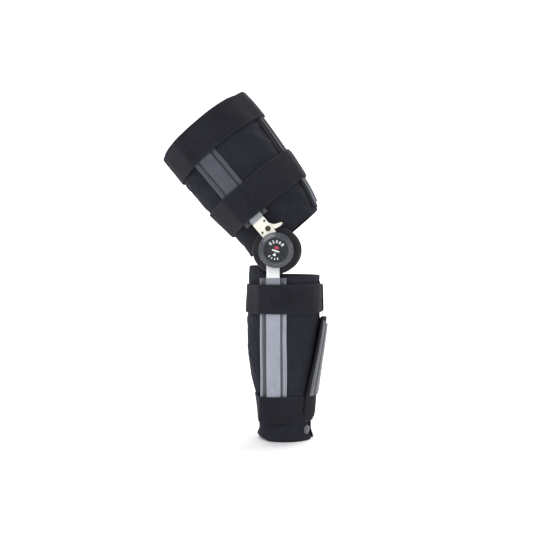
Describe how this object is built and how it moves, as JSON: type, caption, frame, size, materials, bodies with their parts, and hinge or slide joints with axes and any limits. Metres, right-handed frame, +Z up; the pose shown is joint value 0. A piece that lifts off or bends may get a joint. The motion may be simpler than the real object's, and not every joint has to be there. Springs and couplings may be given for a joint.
{
  "type": "knee brace",
  "caption": "Hinged range-of-motion knee brace: padded thigh and shank cuffs with wrap straps, side arms in vinyl pockets and lever-locking side hinges.",
  "frame": {"origin": "on the knee hinge axis, midway between the inner and outer hinges", "axes": "+Z up along the shank, +X to the front of the leg, -Y to the outer side of a right leg; the thigh leans back 40 degrees at rest"},
  "size_m": [0.2634, 0.1675, 0.549],
  "materials": {
    "sleeve_fabric": "brushed loop-face foam laminate",
    "strap_web": "napped hook-and-loop webbing",
    "grey_vinyl": "satin grained vinyl",
    "foam": "matt closed-cell foam",
    "black_plastic": "satin moulded",
    "grey_plastic": "satin moulded",
    "label": "printed film",
    "arm_alloy": "bright anodised",
    "nylon": "plain",
    "bronze": "plain",
    "steel": "plated",
    "rivet_dark": "blackened",
    "cream_enamel": "satin cream enamel"
  },
  "bodies": {
    "shank": {"ankle_snap_cap": "steel", "ankle_snap_patch": "grey_vinyl", "calf_front_flap": "sleeve_fabric", "calf_front_stay": "grey_vinyl", "calf_lower_loop": "black_plastic", "calf_lower_strap": "strap_web", "calf_popliteal_margin": "sleeve_fabric", "calf_sleeve": "sleeve_fabric", "calf_upper_loop": "black_plastic", "calf_upper_strap": "strap_web", "lat_backing_disc": "black_plastic", "lat_calf_pocket": "grey_vinyl", "lat_cap_label": "label", "lat_condyle_pad": "foam", "lat_dial_ring": "grey_plastic", "lat_friction_washer": "nylon", "lat_hinge_cap": "black_plastic", "lat_lock_disc": "steel", "lat_lower_arm": "arm_alloy", "lat_pivot_bolt": "steel", "lat_stop_pin": "steel", "med_backing_disc": "black_plastic", "med_calf_pocket": "grey_vinyl", "med_cap_label": "label", "med_condyle_pad": "foam", "med_dial_ring": "grey_plastic", "med_friction_washer": "nylon", "med_hinge_cap": "black_plastic", "med_lock_disc": "steel", "med_lower_arm": "arm_alloy", "med_pivot_bolt": "steel", "med_stop_pin": "steel"},
    "thigh": {"lat_cover_rivets": "rivet_dark", "lat_lever_screw": "steel", "lat_lever_spring": "steel", "lat_lock_cover": "cream_enamel", "lat_pivot_bush": "bronze", "lat_thigh_pocket": "grey_vinyl", "lat_upper_arm": "arm_alloy", "med_cover_rivets": "rivet_dark", "med_lever_screw": "steel", "med_lever_spring": "steel", "med_lock_cover": "cream_enamel", "med_pivot_bush": "bronze", "med_thigh_pocket": "grey_vinyl", "med_upper_arm": "arm_alloy", "thigh_front_flap": "sleeve_fabric", "thigh_front_stay": "grey_vinyl", "thigh_lower_loop": "black_plastic", "thigh_lower_strap": "strap_web", "thigh_popliteal_margin": "sleeve_fabric", "thigh_sleeve": "sleeve_fabric", "thigh_upper_loop": "black_plastic", "thigh_upper_strap": "strap_web"},
    "lat_lever": {"lat_lock_lever": "cream_enamel"},
    "med_lever": {"med_lock_lever": "cream_enamel"},
    "lat_bolt": {"lat_lock_bolt": "steel"},
    "med_bolt": {"med_lock_bolt": "steel"}
  },
  "joints": [
    {"name": "knee_flexion", "type": "hinge", "parent": "shank", "child": "thigh", "pos_m": [0, 0, 0], "axis": [0, -1, 0], "range_deg": [-40, 50], "deforming": ["thigh_popliteal_margin", "calf_popliteal_margin"]},
    {"name": "lat_lever_turn", "type": "hinge", "parent": "thigh", "child": "lat_lever", "pos_m": [-0.01225, -0.073, 0.0328], "axis": [0, -1, 0], "range_deg": [0, 14]},
    {"name": "lat_bolt_slide", "type": "slide", "parent": "thigh", "child": "lat_bolt", "axis": [0.6428, 0, -0.766], "range_m": [0, 0.00258]},
    {"name": "med_lever_turn", "type": "hinge", "parent": "thigh", "child": "med_lever", "pos_m": [-0.01225, 0.073, 0.0328], "axis": [0, -1, 0], "range_deg": [0, 14]},
    {"name": "med_bolt_slide", "type": "slide", "parent": "thigh", "child": "med_bolt", "axis": [0.6428, 0, -0.766], "range_m": [0, 0.00258]}
  ],
  "couplings": [
    {"joint": "lat_bolt_slide", "follows": "lat_lever_turn", "m_per_rad": 0.010541},
    {"joint": "med_bolt_slide", "follows": "med_lever_turn", "m_per_rad": 0.010541}
  ]
}
